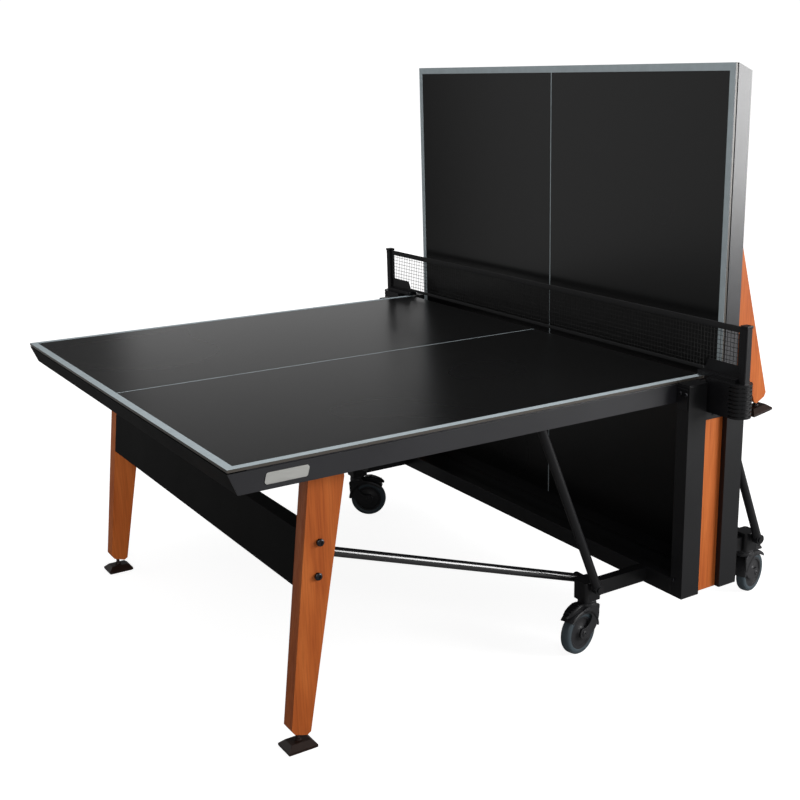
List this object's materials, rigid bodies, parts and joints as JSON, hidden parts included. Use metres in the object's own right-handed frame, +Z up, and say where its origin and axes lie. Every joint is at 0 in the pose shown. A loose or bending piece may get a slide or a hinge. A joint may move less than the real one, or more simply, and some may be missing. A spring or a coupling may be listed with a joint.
{
  "type": "folding table tennis table",
  "caption": "Folding table tennis table with one half level, one half raised behind the net, timber legs and braked casters.",
  "frame": {"origin": "middle of the footprint, on the floor", "axes": "+X along the table's length, from the level half to the raised half; +Y along the net; +Z up"},
  "size_m": [1.7794, 1.8438, 1.565],
  "materials": {
    "board": "satin",
    "apron": "textured powder coat",
    "steel": "satin black powder coat",
    "timber": "oiled",
    "plastic": "moulded",
    "hub": "moulded",
    "tyre": "matt",
    "netting": "knotted",
    "bolt": "black zinc",
    "badge": "brushed"
  },
  "bodies": {
    "chassis": {"uprights": "steel", "crossbars": "steel", "floor_pan": "steel", "wood_inlays": "timber", "column_heads": "steel", "column_caps": "plastic", "caster_arms": "steel", "caster_sockets": "steel", "lock_housings": "plastic", "chassis_bolts": "bolt", "net_posts": "steel", "net_arms": "plastic", "net_end_plates": "plastic", "post_covers": "plastic", "net": "netting", "net_tape": "netting"},
    "left_carriage": {"left_guide_blocks": "plastic"},
    "left_half": {"left_board": "board", "left_side_aprons": "apron", "left_end_apron": "apron", "left_underframe": "steel", "left_brackets": "steel", "left_badge": "badge"},
    "left_release_bar": {"left_release_bar": "steel"},
    "left_struts": {"left_struts": "steel"},
    "left_tie_rods": {"left_tie_rods": "steel"},
    "left_legs": {"left_near_leg": "timber", "left_far_leg": "timber", "left_skirt": "steel", "left_leg_bolts": "bolt"},
    "left_near_foot": {"left_near_foot": "plastic"},
    "left_near_caster_fork": {"left_near_caster_fork": "plastic"},
    "left_near_caster_wheel": {"left_near_caster_wheel": "tyre"},
    "left_near_caster_brake": {"left_near_caster_brake_pedal": "plastic"},
    "left_far_foot": {"left_far_foot": "plastic"},
    "left_far_caster_fork": {"left_far_caster_fork": "plastic"},
    "left_far_caster_wheel": {"left_far_caster_wheel": "tyre"},
    "left_far_caster_brake": {"left_far_caster_brake_pedal": "plastic"},
    "right_carriage": {"right_guide_blocks": "plastic"},
    "right_half": {"right_board": "board", "right_side_aprons": "apron", "right_end_apron": "apron", "right_underframe": "steel", "right_brackets": "steel"},
    "right_release_bar": {"right_release_bar": "steel"},
    "right_struts": {"right_struts": "steel"},
    "right_tie_rods": {"right_tie_rods": "steel"},
    "right_legs": {"right_near_leg": "timber", "right_far_leg": "timber", "right_skirt": "steel", "right_leg_bolts": "bolt"},
    "right_near_foot": {"right_near_foot": "plastic"},
    "right_near_caster_fork": {"right_near_caster_fork": "plastic"},
    "right_near_caster_wheel": {"right_near_caster_wheel": "tyre"},
    "right_near_caster_brake": {"right_near_caster_brake_pedal": "plastic"},
    "right_far_foot": {"right_far_foot": "plastic"},
    "right_far_caster_fork": {"right_far_caster_fork": "plastic"},
    "right_far_caster_wheel": {"right_far_caster_wheel": "tyre"},
    "right_far_caster_brake": {"right_far_caster_brake_pedal": "plastic"}
  },
  "joints": [
    {"name": "left_guide_slide", "type": "slide", "parent": "chassis", "child": "left_carriage", "axis": [0, 0, 1], "range_m": [-0.45505, 0]},
    {"name": "left_fold", "type": "hinge", "parent": "left_carriage", "child": "left_half", "pos_m": [0.39532, 0, 0.735], "axis": [0, 1, 0], "range_deg": [0, 90]},
    {"name": "left_leg_fold", "type": "hinge", "parent": "left_half", "child": "left_legs", "pos_m": [-0.60468, 0, 0.728], "axis": [0, 1, 0], "range_deg": [-81, 0]},
    {"name": "left_strut_swing", "type": "hinge", "parent": "left_half", "child": "left_struts", "pos_m": [-0.03968, 0, 0.715], "axis": [0, 1, 0], "range_deg": [-46.49, 0]},
    {"name": "left_rod_swing", "type": "hinge", "parent": "left_legs", "child": "left_tie_rods", "pos_m": [-0.62968, 0, 0.472], "axis": [0, 1, 0], "range_deg": [0, 71.99]},
    {"name": "left_release", "type": "hinge", "parent": "left_half", "child": "left_release_bar", "pos_m": [0.31032, 0, 0.722], "axis": [0, 1, 0], "range_deg": [-20, 0]},
    {"name": "left_near_levelling", "type": "slide", "parent": "left_legs", "child": "left_near_foot", "axis": [0, 0, -1], "range_m": [0, 0.012]},
    {"name": "left_near_caster_swivel", "type": "hinge", "parent": "chassis", "child": "left_near_caster_fork", "pos_m": [0.17032, -0.655, 0.15], "axis": [0, 0, 1], "continuous": true},
    {"name": "left_near_caster_roll", "type": "hinge", "parent": "left_near_caster_fork", "child": "left_near_caster_wheel", "pos_m": [0.13322, -0.66321, 0.0625], "axis": [0.2161, -0.9764, 0], "continuous": true},
    {"name": "left_near_caster_brake", "type": "hinge", "parent": "left_near_caster_fork", "child": "left_near_caster_brake", "pos_m": [0.14103, -0.66148, 0.137], "axis": [0.2161, -0.9764, 0], "range_deg": [0, 5]},
    {"name": "left_far_levelling", "type": "slide", "parent": "left_legs", "child": "left_far_foot", "axis": [0, 0, -1], "range_m": [0, 0.012]},
    {"name": "left_far_caster_swivel", "type": "hinge", "parent": "chassis", "child": "left_far_caster_fork", "pos_m": [0.17032, 0.655, 0.15], "axis": [0, 0, 1], "continuous": true},
    {"name": "left_far_caster_roll", "type": "hinge", "parent": "left_far_caster_fork", "child": "left_far_caster_wheel", "pos_m": [0.20152, 0.63331, 0.0625], "axis": [0.5708, 0.8211, 0], "continuous": true},
    {"name": "left_far_caster_brake", "type": "hinge", "parent": "left_far_caster_fork", "child": "left_far_caster_brake", "pos_m": [0.19495, 0.63788, 0.137], "axis": [0.5708, 0.8211, 0], "range_deg": [0, 5]},
    {"name": "right_guide_slide", "type": "slide", "parent": "chassis", "child": "right_carriage", "axis": [0, 0, 1], "range_m": [0, 0.45505]},
    {"name": "right_fold", "type": "hinge", "parent": "right_carriage", "child": "right_half", "pos_m": [0.56532, 0, 0.28], "axis": [0, 1, 0], "range_deg": [0, 90]},
    {"name": "right_leg_fold", "type": "hinge", "parent": "right_half", "child": "right_legs", "pos_m": [0.57232, 0, 1.28], "axis": [0, 1, 0], "range_deg": [-81, 0]},
    {"name": "right_strut_swing", "type": "hinge", "parent": "right_half", "child": "right_struts", "pos_m": [0.58532, 0, 0.715], "axis": [0, 1, 0], "range_deg": [-46.49, 0]},
    {"name": "right_rod_swing", "type": "hinge", "parent": "right_legs", "child": "right_tie_rods", "pos_m": [0.63706, 0, 1.03106], "axis": [0, 1, 0], "range_deg": [0, 71.99]},
    {"name": "right_release", "type": "hinge", "parent": "right_half", "child": "right_release_bar", "pos_m": [0.57832, 0, 0.365], "axis": [0, 1, 0], "range_deg": [0, 20]},
    {"name": "right_near_levelling", "type": "slide", "parent": "right_legs", "child": "right_near_foot", "axis": [0.1564, 0, -0.9877], "range_m": [0, 0.012]},
    {"name": "right_near_caster_swivel", "type": "hinge", "parent": "chassis", "child": "right_near_caster_fork", "pos_m": [0.79032, -0.655, 0.15], "axis": [0, 0, 1], "continuous": true},
    {"name": "right_near_caster_roll", "type": "hinge", "parent": "right_near_caster_fork", "child": "right_near_caster_wheel", "pos_m": [0.82702, -0.64516, 0.0625], "axis": [-0.2589, 0.9659, 0], "continuous": true},
    {"name": "right_near_caster_brake", "type": "hinge", "parent": "right_near_caster_fork", "child": "right_near_caster_brake", "pos_m": [0.8193, -0.64723, 0.137], "axis": [-0.2589, 0.9659, 0], "range_deg": [0, 5]},
    {"name": "right_far_levelling", "type": "slide", "parent": "right_legs", "child": "right_far_foot", "axis": [0.1564, 0, -0.9877], "range_m": [0, 0.012]},
    {"name": "right_far_caster_swivel", "type": "hinge", "parent": "chassis", "child": "right_far_caster_fork", "pos_m": [0.79032, 0.655, 0.15], "axis": [0, 0, 1], "continuous": true},
    {"name": "right_far_caster_roll", "type": "hinge", "parent": "right_far_caster_fork", "child": "right_far_caster_wheel", "pos_m": [0.82505, 0.63957, 0.0625], "axis": [0.4061, 0.9138, 0], "continuous": true},
    {"name": "right_far_caster_brake", "type": "hinge", "parent": "right_far_caster_fork", "child": "right_far_caster_brake", "pos_m": [0.81773, 0.64282, 0.137], "axis": [0.4061, 0.9138, 0], "range_deg": [0, 5]}
  ],
  "couplings": [
    {"joint": "left_guide_slide", "follows": "left_fold", "m_per_rad": -0.28966},
    {"joint": "left_leg_fold", "follows": "left_fold", "ratio": -0.9},
    {"joint": "left_strut_swing", "follows": "left_fold", "ratio": -0.51658},
    {"joint": "left_rod_swing", "follows": "left_fold", "ratio": 0.79985},
    {"joint": "right_guide_slide", "follows": "right_fold", "m_per_rad": 0.28966},
    {"joint": "right_leg_fold", "follows": "right_fold", "ratio": -0.9},
    {"joint": "right_strut_swing", "follows": "right_fold", "ratio": -0.51658},
    {"joint": "right_rod_swing", "follows": "right_fold", "ratio": 0.79985}
  ]
}
